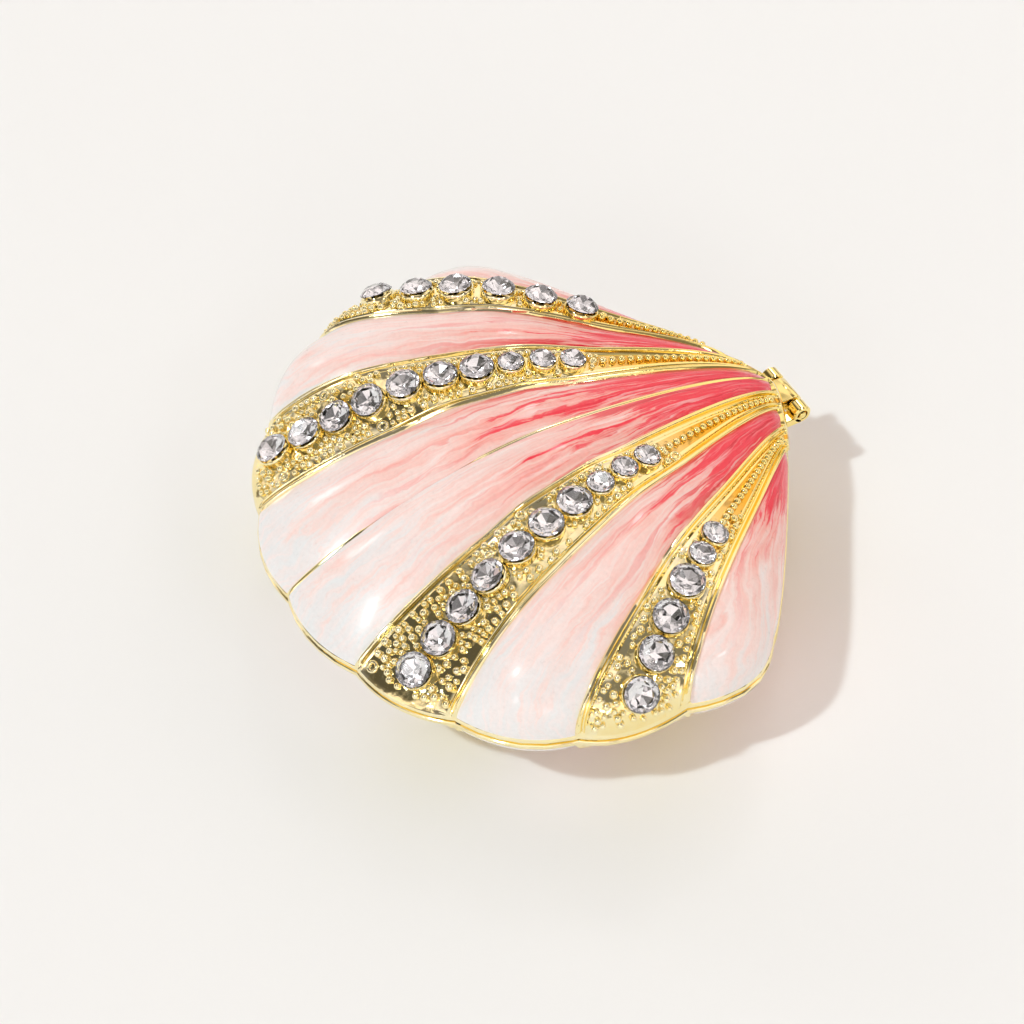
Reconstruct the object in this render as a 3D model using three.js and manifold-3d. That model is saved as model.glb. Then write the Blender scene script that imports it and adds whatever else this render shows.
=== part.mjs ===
// A scallop-shell trinket box: two cast valves hinged at the beak, with enamel pads and rows of stones.
// Millimetres, +Z up, -Y the front lip, +Y the hinge. While a valve is shaped, z = 0 is between the rims.

import * as THREE from 'three';
import { mergeVertices } from 'three/addons/utils/BufferGeometryUtils.js';
import loadManifold from 'manifold-3d';

const wasm = await loadManifold();
wasm.setup();

// Rim, right half, through the notches: from the beak at the hinge, round the shoulder, to the front lip
const halfOutline = [
  [0, 31.2],
  [3.2, 30.2],
  [9, 27.2],
  [23.9, 17.2],
  [27.8, 13.8],
  [29.9, 10.4],
  [30.5, 6.5],
  [30.3, 2.5],
  [29.1, -6.3],
  [25.6, -12.6],
  [19.4, -18.3],
  [11.4, -22.5],
  [0, -24.6],
];
const outlineSteps = 600;
const lobeRise = 0.75; // how far a lobe bows out past its two notches
const shoulderAngle = 112; // degrees round the crown, where the last lobe ends
const rimGap = 0.3; // between the two rims
const rimHeight = 0.75; // plain edge under each dome
const wallThickness = 2.2; // at the rim
const roofThickness = 2.6; // at the crown, down from the mean surface

// Domes: each section is a superellipse that changes from front to side to back
const crownY = 2.95; // highest point, on the symmetry plane
const lidDome = {
  rise: 9.9,
  front: { shape: 1.94, fullness: 1.22 },
  side: { shape: 2.6, fullness: 2.4 },
  back: { shape: 1.35, fullness: 2.3 },
};
const baseDome = {
  rise: 14, // before it is cut flat
  front: { shape: 1.94, fullness: 1.22 },
  side: { shape: 1.94, fullness: 1.26 },
  back: { shape: 1.6, fullness: 1.4 },
};
const footDepth = 11; // rim plane to the flat foot
const floorThickness = 1.8; // of the base, over its foot
const padFootClearance = 1.4; // the base's enamel stops this far above the foot
const frontToSide = [38, 62]; // degrees round the crown
const sideToBack = [96, 147];

// Fan of ribs: their lines run from a point behind the hinge, and the inner ones part a little at the beak
const apexY = 36.4;
const ribAngles = [0, 10.8, 21.5, 32.8, 42.1]; // degrees to each side of the centre line
const beakParting = 6.5; // degrees by which the inner ribs are turned out at the beak
const beakBend = 2; // power with which they straighten towards the rim
const flankSpread = 11; // degrees, for the bulge of the outermost pad
const ribDip = 0.45; // of a rib line under the mean surface
const padCrown = 0.55; // of an enamel pad over it
const bandCrown = -0.25; // of a stone band
const fullHalfWidth = 5; // a pad this wide to each side has its whole bulge
const rimFade = 6; // power with which the ribs die out at the rim
const lobeFade = 3; // power with which the last lobe's bow dies out towards the beak

// Enamel
const enamelThickness = 0.45;
const pieceGap = 0.3; // between enamel and its cell, and under a stone
const ribHalfWidth = 0.3; // bare metal left beside a rib line
const edgeWidth = 0.5; // bare metal left at the rim, along the surface
const beakWidth = 1.2; // bare metal left at the beak
const centreHalfWidth = 0.15; // beside the thin centre line
const cutterLift = 1.2; // how far a cell's cutter stands over the surface
const flankStart = 0.16; // share of an outermost pad's length that is bare metal at its pointed end
const flankLength = 34; // of the outermost pads
const flankCrowding = 1.6; // draws their columns towards the steep back edge
const cornerEase = 1.5; // rounds their corner at the shoulder
const bareBack = { halfWidth: 16, fromY: 6 }; // the base has no enamel behind its foot

// Stones, counted from the rim towards the beak
const stone = {
  large: 3.5,
  small: 2.7,
  back: 0.8, // share of the radius
  table: 0.55, // share of the radius
  girdleLow: 0.16, // these are shares of the diameter
  girdleHigh: 0.22,
  height: 0.4,
};
const stoneSides = 8;
const stoneBands = [
  { band: 1, side: -1, rib: 3, large: 6, small: 0, first: 6.1, pitch: 4.4 },
  { band: 2, side: -1, rib: 1, large: 7, small: 3, first: 3.3, pitch: 3.75 },
  { band: 3, side: 1, rib: 1, large: 7, small: 3, first: 3.3, pitch: 3.75 },
  { band: 4, side: 1, rib: 3, large: 4, small: 2, first: 4.2, pitch: 3.95 },
];
const smallPitch = 3.2;

// Hinge
const hingeY = 32.55;
const barrelRadius = 1.05;
const barrelLength = 6.8;
const lidKnuckleLength = 3.2;
const boreRadius = 0.65;
const pinRadius = 0.4;
const leafReach = 3.4; // from the hinge axis into the casting
const barrelSides = 16;

// Grid counts
const rayRows = 12;
const columnsPerPad = 4;
const columnsPerBand = 2;
const flankColumns = 5;
const padRows = 9;
const voidSides = 28;
const voidRings = 5;
const halvings = 40; // when a line of the fan is cut with an outline
const lineSamples = 60;
const slopeStep = 0.05;
const far = 100; // past everything

const gold = { color: 0xe8b64c, roughness: 0.2, metalness: 1 };
const enamelColours = { color: 0xf4b7ad, roughness: 0.15, metalness: 0 };
const glass = { color: 0xeef2f6, roughness: 0.05, metalness: 0 };

const { degToRad, lerp, smoothstep } = THREE.MathUtils;
const ribs = ribAngles.map(degToRad);
const lastRib = ribs.length - 1;

// Outline, as a radius round the crown

function angleRoundCrown(x, y) {
  return Math.atan2(x, crownY - y); // 0 at the front lip, positive towards +X
}

function traceOutline() {
  const right = halfOutline.map(([x, y]) => new THREE.Vector3(x, y, 0));
  const left = right.slice(1, -1).reverse().map((p) => new THREE.Vector3(-p.x, p.y, 0));
  const curve = new THREE.CatmullRomCurve3([...right, ...left], true, 'centripetal');
  return curve
    .getPoints(outlineSteps)
    .filter((p) => p.x > -1e-9)
    .map((p) => ({ angle: angleRoundCrown(Math.abs(p.x), p.y), radius: Math.hypot(p.x, p.y - crownY) }))
    .sort((a, b) => a.angle - b.angle);
}
const outline = traceOutline();

function notchRadius(angle) {
  const turn = Math.min(Math.abs(angle), outline.at(-1).angle);
  const next = Math.max(1, outline.findIndex((p) => p.angle >= turn));
  const [a, b] = [outline[next - 1], outline[next]];
  return lerp(a.radius, b.radius, (turn - a.angle) / (b.angle - a.angle || 1));
}

// The two plan points where a line of the fan crosses an outline: near the beak, and at the rim
function rayEnds(angle, radiusAt) {
  const at = (reach) => [reach * Math.sin(angle), apexY - reach * Math.cos(angle)];
  const middle = (apexY - crownY) * Math.cos(angle);
  const crossing = (outside) => {
    let inner = middle;
    let outer = outside;
    for (let i = 0; i < halvings; i++) {
      const trial = (inner + outer) / 2;
      const [x, y] = at(trial);
      const inside = Math.hypot(x, y - crownY) < radiusAt(angleRoundCrown(x, y));
      if (inside) inner = trial;
      else outer = trial;
    }
    return at(inner);
  };
  return [crossing(0), crossing(2 * apexY)];
}

const notchAngles = ribs.map((rib) => angleRoundCrown(...rayEnds(rib, notchRadius)[1]));
notchAngles.push(degToRad(shoulderAngle));

function rimRadius(angle) {
  const turn = Math.abs(angle);
  const lobe = notchAngles.findIndex((notch, i) => turn >= notch && turn < notchAngles[i + 1]);
  if (lobe < 0) return notchRadius(turn);
  const share = (turn - notchAngles[lobe]) / (notchAngles[lobe + 1] - notchAngles[lobe]);
  return notchRadius(turn) + lobeRise * 4 * share * (1 - share);
}

function rimPoint(angle) {
  const radius = rimRadius(angle);
  return [radius * Math.sin(angle), crownY - radius * Math.cos(angle)];
}

// Dome and ribs, as a height over the rim plane

function domeShare(dome, angle, share) {
  const turn = THREE.MathUtils.radToDeg(Math.abs(angle));
  const toSide = smoothstep(turn, ...frontToSide);
  const toBack = smoothstep(turn, ...sideToBack);
  const blend = (key) => lerp(lerp(dome.front[key], dome.side[key], toSide), dome.back[key], toBack);
  return Math.max(0, 1 - Math.min(share, 1) ** blend('shape')) ** (1 / blend('fullness'));
}

function relief(x, y, share) {
  const reach = Math.hypot(x, apexY - y);
  const angle = Math.abs(Math.atan2(x, apexY - y));
  const cell = ribs.findLastIndex((rib) => rib <= angle);
  const flank = cell === lastRib;
  const spread = flank ? degToRad(flankSpread) : ribs[cell + 1] - ribs[cell];
  const halfWidth = reach * Math.tan(spread / 2);
  const nearest = flank ? angle - ribs[cell] : Math.min(angle - ribs[cell], ribs[cell + 1] - angle);
  const fromRib = Math.min(1, (reach * Math.sin(nearest)) / halfWidth);
  const crown = cell % 2 ? bandCrown : padCrown;
  const bulge = (ribDip + crown) * (1 - (1 - fromRib) ** 2) - ribDip;
  return bulge * Math.min(1, halfWidth / fullHalfWidth) * (1 - share ** rimFade);
}

function surfaceHeight(x, y, dome) {
  const angle = angleRoundCrown(x, y);
  const share = Math.min(1, Math.hypot(x, y - crownY) / rimRadius(angle));
  return rimHeight + (dome.rise - rimHeight) * domeShare(dome, angle, share) + relief(x, y, share);
}

function surfacePoint([x, y], dome, lift = 0) {
  const z = surfaceHeight(x, y, dome);
  if (!lift) return new THREE.Vector3(x, y, z);
  const fallX = surfaceHeight(x - slopeStep, y, dome) - surfaceHeight(x + slopeStep, y, dome);
  const fallY = surfaceHeight(x, y - slopeStep, dome) - surfaceHeight(x, y + slopeStep, dome);
  const normal = new THREE.Vector3(fallX, fallY, 2 * slopeStep);
  return normal.setLength(lift).add(new THREE.Vector3(x, y, z));
}

// Plan points along a line, at given lengths measured on the surface from its start

function measureLine(planFor, dome) {
  let length = 0;
  let last = null;
  return Array.from({ length: lineSamples + 1 }, (_, i) => {
    const share = (1 - Math.cos((Math.PI * i) / lineSamples)) / 2;
    const plan = planFor(share);
    const point = surfacePoint(plan, dome);
    length += last ? point.distanceTo(last) : 0;
    last = point;
    return { plan, length };
  });
}

function planAt(line, length) {
  const next = Math.max(1, line.findIndex((s) => s.length >= length - 1e-9));
  const [a, b] = [line[next - 1], line[next]];
  const share = THREE.MathUtils.clamp((length - a.length) / (b.length - a.length), 0, 1);
  return [lerp(a.plan[0], b.plan[0], share), lerp(a.plan[1], b.plan[1], share)];
}

function fanPath(angle) {
  const parting = degToRad(beakParting) * Math.sin((Math.PI * angle) / ribs[lastRib]);
  const [beak, rim] = rayEnds(angle, rimRadius);
  const [parted] = rayEnds(angle + parting, rimRadius);
  return (share) => {
    const bend = (1 - share) ** beakBend;
    return [0, 1].map((axis) => lerp(beak[axis], rim[axis], share) + (parted[axis] - beak[axis]) * bend);
  };
}

const fanLines = new Map();
function fanLine(angle, dome) {
  const key = `${angle} ${dome.rise}`;
  if (!fanLines.has(key)) fanLines.set(key, measureLine(fanPath(angle), dome));
  return fanLines.get(key);
}

// Plan point on a fan line: share 0 is at its beak end, share 1 at the rim, each less an inset
function onFan(angle, share, dome, beakInset = 0, rimInset = 0) {
  const line = fanLine(angle, dome);
  return planAt(line, lerp(beakInset, line.at(-1).length - rimInset, share));
}

// Plan point in an outermost pad: across 0 is the last rib line, across 1 the back edge of the rim
function onFlank(side, across, share, dome) {
  const rib = side * ribs[lastRib];
  const [beakEnd, rimEnd] = rayEnds(rib, rimRadius);
  const backAngle = angleRoundCrown(...beakEnd);
  const cornerAngle = side * degToRad(shoulderAngle);
  const inner = onFan(rib, share, dome);
  const outer = rimPoint(lerp(backAngle, cornerAngle, share));
  const corner = rimPoint(cornerAngle);
  const lobe = rimPoint(lerp(notchAngles[lastRib] * side, cornerAngle, across));
  return [0, 1].map((axis) => {
    const bow = lobe[axis] - lerp(rimEnd[axis], corner[axis], across);
    return lerp(inner[axis], outer[axis], across) + bow * share ** lobeFade;
  });
}

// Closed meshes from grids

function closedGrid(top, bottom) {
  const rows = top.length;
  const columns = top[0].length;
  const points = [...top.flat(), ...bottom.flat()];
  const under = rows * columns;
  const id = (row, column) => row * columns + column;
  const index = [];
  const quad = (a, b, c, d) => index.push(a, b, c, a, c, d);
  for (let r = 0; r + 1 < rows; r++) {
    for (let c = 0; c + 1 < columns; c++) {
      quad(id(r, c), id(r + 1, c), id(r + 1, c + 1), id(r, c + 1));
      quad(under + id(r, c), under + id(r, c + 1), under + id(r + 1, c + 1), under + id(r + 1, c));
    }
  }
  const border = [
    ...Array.from({ length: rows - 1 }, (_, r) => id(r, 0)),
    ...Array.from({ length: columns - 1 }, (_, c) => id(rows - 1, c)),
    ...Array.from({ length: rows - 1 }, (_, r) => id(rows - 1 - r, columns - 1)),
    ...Array.from({ length: columns - 1 }, (_, c) => id(0, columns - 1 - c)),
  ];
  border.forEach((a, i) => {
    const b = border[(i + 1) % border.length];
    quad(b, a, under + a, under + b);
  });
  const geometry = new THREE.BufferGeometry().setFromPoints(points);
  geometry.setIndex(index);
  return geometry;
}

function toSolid(geometry) {
  const bare = geometry.clone();
  bare.deleteAttribute('normal');
  bare.deleteAttribute('uv');
  const merged = mergeVertices(bare, 1e-4);
  const corners = merged.index.array;
  const triangles = [];
  for (let i = 0; i < corners.length; i += 3) {
    const [a, b, c] = corners.slice(i, i + 3);
    if (a !== b && b !== c && c !== a) triangles.push(a, b, c);
  }
  const vertProperties = new Float32Array(merged.attributes.position.array);
  const triVerts = new Uint32Array(triangles);
  return new wasm.Manifold(new wasm.Mesh({ numProp: 3, vertProperties, triVerts }));
}

function toGeometry(solid) {
  const { vertProperties, triVerts } = solid.getMesh();
  const geometry = new THREE.BufferGeometry();
  geometry.setAttribute('position', new THREE.BufferAttribute(vertProperties, 3));
  geometry.setIndex(new THREE.BufferAttribute(triVerts, 1));
  return geometry;
}

function flipDown(geometry) {
  geometry.scale(1, 1, -1);
  const corners = geometry.index.array;
  for (let i = 0; i < corners.length; i += 3) [corners[i], corners[i + 1]] = [corners[i + 1], corners[i]];
  return geometry;
}

// One valve, shaped with its dome upwards

function blank(dome) {
  const cells = ribs.slice(0, -1).flatMap((rib, cell) => {
    const columns = cell % 2 ? columnsPerBand : columnsPerPad;
    return Array.from({ length: columns }, (_, i) => lerp(rib, ribs[cell + 1], i / columns));
  });
  const rightHalf = [...cells, ribs[lastRib]];
  const fan = [...rightHalf.slice(1).reverse().map((angle) => -angle), ...rightHalf];
  const flankShares = Array.from({ length: flankColumns }, (_, i) => (i + 1) / flankColumns);
  const flank = flankShares.map((share) => 1 - (1 - share) ** flankCrowding);
  const top = Array.from({ length: rayRows }, (_, row) => {
    const even = row / (rayRows - 1);
    const share = (even + (1 - Math.cos(Math.PI * even)) / 2) / 2;
    return [
      ...flank.toReversed().map((across) => onFlank(-1, across, share, dome)),
      ...fan.map((angle) => onFan(angle, share, dome)),
      ...flank.map((across) => onFlank(1, across, share, dome)),
    ].map((plan) => surfacePoint(plan, dome));
  });
  const bottom = top.map((row) => row.map((p) => new THREE.Vector3(p.x, p.y, rimGap / 2)));
  return closedGrid(top, bottom);
}

function hollow(dome) {
  const rings = Array.from({ length: voidRings }, (_, i) => Math.sin(((i + 1) / voidRings) * (Math.PI / 2)));
  const wedge = (i) => -Math.PI + (2 * Math.PI * i) / voidSides;
  const row = (share, height) =>
    Array.from({ length: voidSides + 1 }, (_, i) => {
      const angle = wedge(i % voidSides);
      const radius = (notchRadius(angle) - wallThickness) * share;
      const plan = [radius * Math.sin(angle), crownY - radius * Math.cos(angle)];
      const ceiling = (dome.rise - roofThickness) * domeShare(dome, angle, share);
      return new THREE.Vector3(...plan, height ?? ceiling);
    });
  const shares = [0, ...rings];
  const roof = shares.map((share) => row(share));
  const mouth = shares.map((share) => row(share, -rimGap));
  return closedGrid(roof, mouth);
}

const pads = [
  { side: -1, cell: lastRib },
  { side: -1, cell: 2 },
  { side: -1, cell: 0 },
  { side: 1, cell: 0 },
  { side: 1, cell: 2 },
  { side: 1, cell: lastRib },
];

// Plan point of an enamel pad or its cell: u runs from -X to +X, v from the beak to the rim
function onPad({ side, cell }, u, v, gap, dome) {
  const edge = edgeWidth + gap;
  if (cell === lastRib) {
    const share = lerp(flankStart + gap / flankLength, 1 - edge / flankLength, v);
    const line = measureLine((across) => onFlank(side, across, share, dome), dome);
    const across = 1 - (side > 0 ? 1 - u : u) ** flankCrowding;
    const outerEdge = edge * (1 + cornerEase * v ** rimFade);
    return planAt(line, lerp(ribHalfWidth + gap, line.at(-1).length - outerEdge, across));
  }
  const inner = side * ribs[cell];
  const outer = side * ribs[cell + 1];
  const beakEdge = beakWidth + 2 * gap;
  const [x, y] = onFan((inner + outer) / 2, v, dome, beakEdge, edge);
  const reach = Math.hypot(x, apexY - y);
  const innerWidth = cell ? ribHalfWidth : centreHalfWidth;
  const angles = [
    inner + (side * (innerWidth + gap)) / reach,
    outer - (side * (ribHalfWidth + gap)) / reach,
  ];
  const [left, right] = side > 0 ? angles : angles.toReversed();
  return onFan(lerp(left, right, u), v, dome, beakEdge, edge);
}

function padSolid(pad, dome, gap, lift, depth) {
  const layer = (height) =>
    Array.from({ length: padRows }, (_, row) =>
      Array.from({ length: columnsPerPad + 1 }, (_, column) => {
        const plan = onPad(pad, column / columnsPerPad, row / (padRows - 1), gap, dome);
        return surfacePoint(plan, dome, height);
      }),
    );
  return closedGrid(layer(lift), layer(-depth));
}

function boxSolid(low, high) {
  const size = high.map((value, axis) => value - low[axis]);
  const middle = high.map((value, axis) => (value + low[axis]) / 2);
  return new THREE.BoxGeometry(...size).translate(...middle);
}

function barrel(radius, fromX, toX) {
  const geometry = new THREE.CylinderGeometry(radius, radius, toX - fromX, barrelSides);
  return geometry.rotateZ(Math.PI / 2).translate((fromX + toX) / 2, hingeY, 0);
}

// A knuckle with the leaf that joins it to a valve; the leaf is on the valve's own side of the rim plane
function knuckle(fromX, toX, up) {
  const heights = [up * (rimGap / 2), up * barrelRadius].toSorted((a, b) => a - b);
  const leaf = boxSolid([fromX, hingeY - leafReach, heights[0]], [toX, hingeY, heights[1]]);
  return toSolid(barrel(barrelRadius, fromX, toX)).add(toSolid(leaf));
}

const hingeBore = toSolid(barrel(boreRadius, -barrelLength, barrelLength));

function placed(geometry, up) {
  return toSolid(up > 0 ? geometry : flipDown(geometry));
}

function valve({ dome, up, knuckles, floor, enamelLimit }) {
  const cavity = placed(hollow(dome), up);
  const limit = (depth) => {
    const heights = up > 0 ? [depth, far] : [-far, -depth];
    return toSolid(boxSolid([-far, -far, heights[0]], [far, far, heights[1]]));
  };
  let casting = placed(blank(dome), up);
  let cells = pads.map((pad) => placed(padSolid(pad, dome, 0, cutterLift, enamelThickness + pieceGap), up));
  let enamel = pads.map((pad) => placed(padSolid(pad, dome, pieceGap, 0, enamelThickness), up));
  if (enamelLimit) {
    const behind = boxSolid([-bareBack.halfWidth, bareBack.fromY, -far], [bareBack.halfWidth, far, far]);
    const bare = (depth) => limit(depth).add(toSolid(behind));
    cells = cells.map((cell) => cell.subtract(bare(enamelLimit + pieceGap)));
    enamel = enamel.map((pad) => pad.subtract(bare(enamelLimit)));
    casting = casting.subtract(limit(footDepth));
  }
  cells.forEach((cell) => {
    casting = casting.subtract(cell);
  });
  casting = casting.subtract(floor ? cavity.subtract(limit(footDepth - floor)) : cavity);
  knuckles.forEach(([fromX, toX]) => {
    casting = casting.add(knuckle(fromX, toX, up));
  });
  return { casting: casting.subtract(hingeBore), enamel };
}

const halfBarrel = barrelLength / 2;
const halfLidKnuckle = lidKnuckleLength / 2;
const lid = valve({ dome: lidDome, up: 1, knuckles: [[-halfLidKnuckle, halfLidKnuckle]] });
const base = valve({
  dome: baseDome,
  up: -1,
  knuckles: [
    [-halfBarrel, -halfLidKnuckle - rimGap],
    [halfLidKnuckle + rimGap, halfBarrel],
  ],
  floor: floorThickness,
  enamelLimit: footDepth - padFootClearance,
});

// Stones

function stoneGeometry(diameter) {
  const radius = diameter / 2;
  const profile = [
    [0, 0],
    [stone.back * radius, 0],
    [radius, stone.girdleLow * diameter],
    [radius, stone.girdleHigh * diameter],
    [stone.table * radius, stone.height * diameter],
    [0, stone.height * diameter],
  ].map(([r, z]) => new THREE.Vector2(r, z));
  return new THREE.LatheGeometry(profile, stoneSides).rotateX(Math.PI / 2);
}

function stoneMesh(name, diameter, angle, fromRim) {
  const line = fanLine(angle, lidDome);
  const plan = planAt(line, line.at(-1).length - fromRim);
  const foot = surfacePoint(plan, lidDome);
  const seat = surfacePoint(plan, lidDome, pieceGap);
  const mesh = named(name, stoneGeometry(diameter), glass);
  mesh.position.copy(seat);
  mesh.quaternion.setFromUnitVectors(new THREE.Vector3(0, 0, 1), seat.sub(foot).normalize());
  return mesh;
}

function stoneRow({ band, side, rib, large, small, first, pitch }) {
  const angle = (side * (ribs[rib] + ribs[rib + 1])) / 2;
  const middlePitch = (pitch + smallPitch) / 2;
  return Array.from({ length: large + small }, (_, i) => {
    const beyond = i - large;
    const afterLarge = beyond < 0 ? 0 : middlePitch + smallPitch * beyond;
    const fromRim = first + pitch * Math.min(i, large - 1) + afterLarge;
    return stoneMesh(`stone_${band}_${i + 1}`, beyond < 0 ? stone.large : stone.small, angle, fromRim);
  });
}

function named(name, geometry, look) {
  const mesh = new THREE.Mesh(geometry, new THREE.MeshStandardMaterial(look));
  mesh.name = name;
  return mesh;
}

const shell = new THREE.Group();
shell.add(named('lid', toGeometry(lid.casting), gold));
shell.add(named('base', toGeometry(base.casting), gold));
shell.add(named('hinge_pin', barrel(pinRadius, -halfBarrel, halfBarrel), gold));
lid.enamel.forEach((pad, i) => shell.add(named(`lid_enamel_${i + 1}`, toGeometry(pad), enamelColours)));
base.enamel.forEach((pad, i) => shell.add(named(`base_enamel_${i + 1}`, toGeometry(pad), enamelColours)));
stoneBands.forEach((row) => shell.add(...stoneRow(row)));

// The box stands on its foot, centred over the origin
const reach = new THREE.Box3().setFromObject(shell);
shell.position.set(0, -(reach.min.y + reach.max.y) / 2, -reach.min.z);
const shellBox = new THREE.Group();
shellBox.add(shell);

export default shellBox;
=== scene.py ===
import bisect
import functools
import math
import random

import bmesh
import bpy
from mathutils import Matrix, Vector, noise


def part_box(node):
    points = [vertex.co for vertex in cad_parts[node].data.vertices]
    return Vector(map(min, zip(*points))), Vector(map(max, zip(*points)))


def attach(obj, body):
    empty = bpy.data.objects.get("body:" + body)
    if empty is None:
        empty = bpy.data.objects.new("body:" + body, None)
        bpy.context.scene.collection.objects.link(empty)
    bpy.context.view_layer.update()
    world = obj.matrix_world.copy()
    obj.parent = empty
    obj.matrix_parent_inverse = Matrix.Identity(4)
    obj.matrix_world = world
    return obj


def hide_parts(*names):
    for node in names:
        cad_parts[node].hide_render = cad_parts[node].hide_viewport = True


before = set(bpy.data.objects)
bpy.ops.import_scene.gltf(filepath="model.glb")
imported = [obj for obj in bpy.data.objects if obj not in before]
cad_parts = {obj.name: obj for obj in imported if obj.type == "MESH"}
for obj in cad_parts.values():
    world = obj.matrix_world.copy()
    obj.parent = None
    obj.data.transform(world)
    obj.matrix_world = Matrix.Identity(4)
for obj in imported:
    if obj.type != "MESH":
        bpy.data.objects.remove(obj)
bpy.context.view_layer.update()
mm = 0.001

# Form of the shell, in millimetres: z = 0 lies between the two rims, -Y is the front lip
shellForm = {
    "halfOutline": [(0, 31.2), (3.2, 30.2), (9, 27.2), (23.9, 17.2), (27.8, 13.8), (29.9, 10.4),
                    (30.5, 6.5), (30.3, 2.5), (29.1, -6.3), (25.6, -12.6), (19.4, -18.3), (11.4, -22.5),
                    (0, -24.6)],
    "outlineSteps": 1440,
    "lobeRise": 0.75,
    "shoulder": 112,  # degrees round the crown
    "rimHeight": 0.75,
    "rimGap": 0.3,
    "crownY": 2.95,
    "frontToSide": (38, 62),
    "sideToBack": (96, 147),
    "apexY": 36.4,  # the ribs fan out from here
    "ribs": [0, 10.8, 21.5, 32.8, 42.1],
    "beakParting": 6.5,  # degrees by which the inner ribs are turned out at the beak
    "flankSpread": 11,
    "ribDip": 0.45,
    "padCrown": 0.55,
    "bandCrown": -0.25,
    "fullHalfWidth": 5,
    "reliefFade": 6,  # power of the share at which the ribs flatten to the rim
    "hingeY": 32.55,
    "halvings": 26,
}
# Sections of the two domes: shape and fullness at the front, side and back
lidDome = {"rise": 9.9, "front": (1.94, 1.22), "side": (2.6, 2.4), "back": (1.35, 2.3)}
baseDome = {"rise": 14, "front": (1.94, 1.22), "side": (1.94, 1.26), "back": (1.6, 1.4), "foot": 11}
ribs = [math.radians(a) for a in shellForm["ribs"]]
lastRib = len(ribs) - 1
crownY = shellForm["crownY"]
apexY = shellForm["apexY"]
rimHeight = shellForm["rimHeight"]

pinLow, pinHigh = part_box("hinge_pin")
pinMiddle = (pinLow + pinHigh) / 2 / mm
shift = Vector((0, pinMiddle.y - shellForm["hingeY"], pinMiddle.z))


def lerp(a, b, t):
    return a + (b - a) * t


def clamp(t, low=0.0, high=1.0):
    return max(low, min(high, t))


def smoothStep(t, low, high):
    t = clamp((t - low) / (high - low))
    return t * t * (3 - 2 * t)


def closerAtEnds(t):
    return (t + (1 - math.cos(math.pi * t)) / 2) / 2


def toRow(p):
    return (Vector(p) + shift) * mm


# Outline of the rims, as a radius round the crown

def angleRoundCrown(x, y):
    return math.atan2(x, crownY - y)


def smoothLoop(points, steps):
    loop = [Vector(p) for p in points]
    made = []
    for i in range(steps):
        at = len(loop) * i / steps
        k, w = int(at), at - int(at)
        p0, p1, p2, p3 = (loop[(k + j) % len(loop)] for j in (-1, 0, 1, 2))
        d0, d1, d2 = ((b - a).length ** 0.5 for a, b in ((p0, p1), (p1, p2), (p2, p3)))
        t1 = ((p1 - p0) / d0 - (p2 - p0) / (d0 + d1) + (p2 - p1) / d1) * d1
        t2 = ((p2 - p1) / d1 - (p3 - p1) / (d1 + d2) + (p3 - p2) / d2) * d1
        square = (3 * p2 - 3 * p1 - 2 * t1 - t2) * w * w
        cube = (2 * p1 - 2 * p2 + t1 + t2) * w ** 3
        made.append(p1 + t1 * w + square + cube)
    return made


rightHalf = shellForm["halfOutline"]
leftHalf = [(-x, y) for x, y in reversed(rightHalf[1:-1])]
outline = sorted((angleRoundCrown(abs(p.x), p.y), math.hypot(p.x, p.y - crownY))
                 for p in smoothLoop(rightHalf + leftHalf, shellForm["outlineSteps"]) if p.x > -1e-9)
outlineAngles = [a for a, r in outline]


def notchRadius(angle):
    turn = min(abs(angle), outlineAngles[-1])
    i = clamp(bisect.bisect_left(outlineAngles, turn), 1, len(outline) - 1)
    (a0, r0), (a1, r1) = outline[i - 1], outline[i]
    return lerp(r0, r1, (turn - a0) / (a1 - a0 or 1))


def rayEnds(angle, radiusAt):
    dx, dy = math.sin(angle), -math.cos(angle)
    ends = []
    for outer in (0, 2 * apexY):
        inner = (apexY - crownY) * math.cos(angle)
        for _ in range(shellForm["halvings"]):
            reach = (inner + outer) / 2
            x, y = reach * dx, apexY + reach * dy
            if math.hypot(x, y - crownY) < radiusAt(angleRoundCrown(x, y)):
                inner = reach
            else:
                outer = reach
        ends.append(Vector((inner * dx, apexY + inner * dy)))
    return ends


notchAngles = [angleRoundCrown(*rayEnds(rib, notchRadius)[1]) for rib in ribs]
notchAngles.append(math.radians(shellForm["shoulder"]))


def rimRadius(angle):
    turn = abs(angle)
    lobe = bisect.bisect_right(notchAngles, turn) - 1
    if lobe < 0 or lobe > lastRib:
        return notchRadius(turn)
    share = (turn - notchAngles[lobe]) / (notchAngles[lobe + 1] - notchAngles[lobe])
    return notchRadius(turn) + shellForm["lobeRise"] * 4 * share * (1 - share)


def rimPoint(angle, grow=0.0):
    radius = rimRadius(angle) + grow
    return Vector((radius * math.sin(angle), crownY - radius * math.cos(angle)))


@functools.lru_cache(maxsize=None)
def fanEnds(angle):
    parting = math.radians(shellForm["beakParting"]) * math.sin(math.pi * angle / ribs[lastRib])
    beak, rim = rayEnds(angle, rimRadius)
    return beak, rim, rayEnds(angle + parting, rimRadius)[0] - beak


def fanPlan(angle, share):
    beak, rim, parting = fanEnds(round(angle, 4))
    return beak.lerp(rim, share) + parting * (1 - share) ** 2


def fromApex(plan):
    return (plan - Vector((0, apexY))).length


# Dome and ribs, as a height over the rim plane

def domeShare(dome, angle, share):
    turn = math.degrees(abs(angle))
    toSide = smoothStep(turn, *shellForm["frontToSide"])
    toBack = smoothStep(turn, *shellForm["sideToBack"])
    sections = zip(dome["front"], dome["side"], dome["back"])
    shape, fullness = (lerp(lerp(front, side, toSide), back, toBack) for front, side, back in sections)
    return max(0.0, 1 - min(share, 1.0) ** shape) ** (1 / fullness)


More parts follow.
